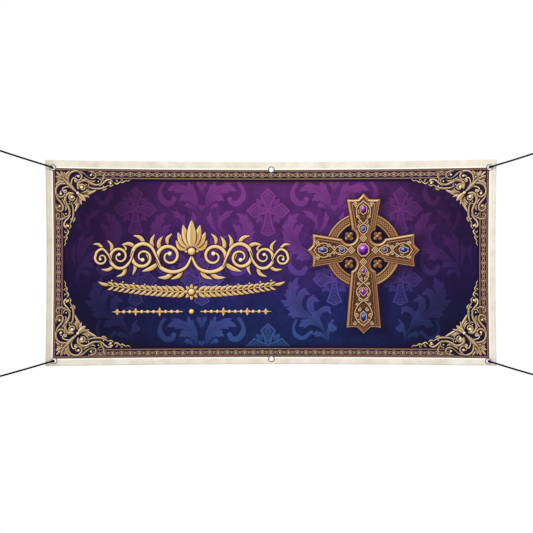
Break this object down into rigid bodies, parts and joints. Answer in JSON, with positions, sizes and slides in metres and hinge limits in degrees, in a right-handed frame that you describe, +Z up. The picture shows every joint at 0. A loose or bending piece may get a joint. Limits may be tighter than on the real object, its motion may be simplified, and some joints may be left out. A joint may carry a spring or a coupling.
{
  "type": "church banner",
  "caption": "Wide printed vinyl church banner with welded hems and metal eyelets, stretched by a rope at each corner.",
  "frame": {"origin": "middle of the banner's top edge, on its printed face", "axes": "+Z up, +X to the right as the print is read, the printed face looks along -Y"},
  "size_m": [2.3516, 0.0359, 0.9986],
  "materials": {
    "printed_vinyl": "satin printed vinyl on a woven scrim",
    "hem_vinyl": "satin printed vinyl, folded and welded",
    "nickel_eyelet": "bright nickel plate",
    "black_rope": "braided black cord"
  },
  "bodies": {
    "root": {"banner_panel": "printed_vinyl", "top_strip": "hem_vinyl", "bottom_strip": "hem_vinyl", "eyelet_top_left": "nickel_eyelet", "eyelet_top_mid": "nickel_eyelet", "eyelet_top_right": "nickel_eyelet", "eyelet_bottom_left": "nickel_eyelet", "eyelet_bottom_mid": "nickel_eyelet", "eyelet_bottom_right": "nickel_eyelet", "rope_top_left": "black_rope", "rope_top_right": "black_rope", "rope_bottom_left": "black_rope", "rope_bottom_right": "black_rope", "stopper_top_left": "black_rope", "stopper_top_right": "black_rope", "stopper_bottom_left": "black_rope", "stopper_bottom_right": "black_rope", "knot_top_left": "black_rope", "knot_top_right": "black_rope", "knot_bottom_left": "black_rope", "knot_bottom_right": "black_rope", "loop_top_left": "black_rope", "loop_top_right": "black_rope", "loop_bottom_left": "black_rope", "loop_bottom_right": "black_rope"}
  },
  "joints": []
}
